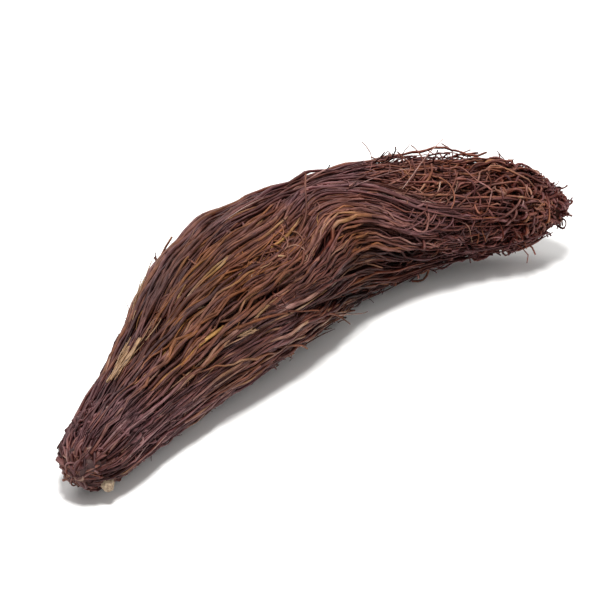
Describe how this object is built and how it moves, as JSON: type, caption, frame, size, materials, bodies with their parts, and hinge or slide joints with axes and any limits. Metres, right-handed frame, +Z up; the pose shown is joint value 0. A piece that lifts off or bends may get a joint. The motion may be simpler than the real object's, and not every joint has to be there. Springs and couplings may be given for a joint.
{
  "type": "dried valerian root",
  "caption": "Dried valerian root clump lying on its side: a short knobbly rhizome whose long thin rootlets sweep back in one bowed, tapering hank with frayed ends.",
  "frame": {"origin": "on the surface that the clump lies on, at the middle of the narrow flats under its belly, close below its centre of mass", "axes": "+X from the rhizome to the loose root ends, +Y to the outer side of the hank's bow, +Z up from the surface it lies on"},
  "size_m": [0.1308, 0.0416, 0.0291],
  "materials": {
    "root_bark": "matte, dry, finely wrinkled lengthwise"
  },
  "bodies": {
    "root": {"rhizome_and_rootlets": "root_bark"}
  },
  "joints": []
}
